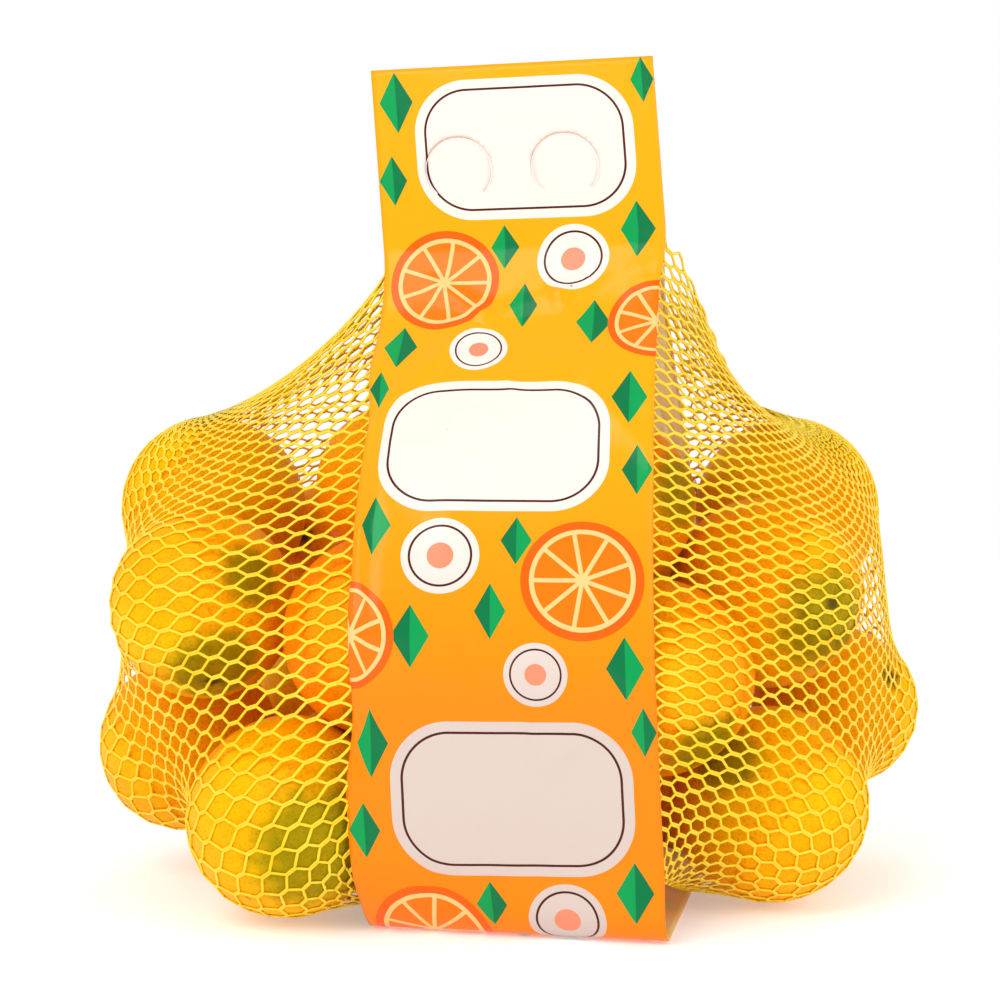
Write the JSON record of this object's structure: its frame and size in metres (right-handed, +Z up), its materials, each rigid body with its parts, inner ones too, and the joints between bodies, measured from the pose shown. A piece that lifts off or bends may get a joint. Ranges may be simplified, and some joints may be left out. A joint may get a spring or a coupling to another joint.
{
  "type": "net bag of oranges",
  "caption": "Full net bag of whole citrus fruit, carried by a printed film band with a flat header and thumb flaps at the top.",
  "frame": {"origin": "centre of the bounding box, on the ground that the bag stands on", "axes": "+Z up, the printed front of the film band faces -Y, +X to its viewer's right"},
  "size_m": [0.3056, 0.2107, 0.296],
  "materials": {
    "netting": "satin yellow plastic netting over orange fruit",
    "film": "glossy printed plastic film, amber yellow"
  },
  "bodies": {
    "root": {"net_bag": "netting", "film_band": "film"}
  },
  "joints": []
}
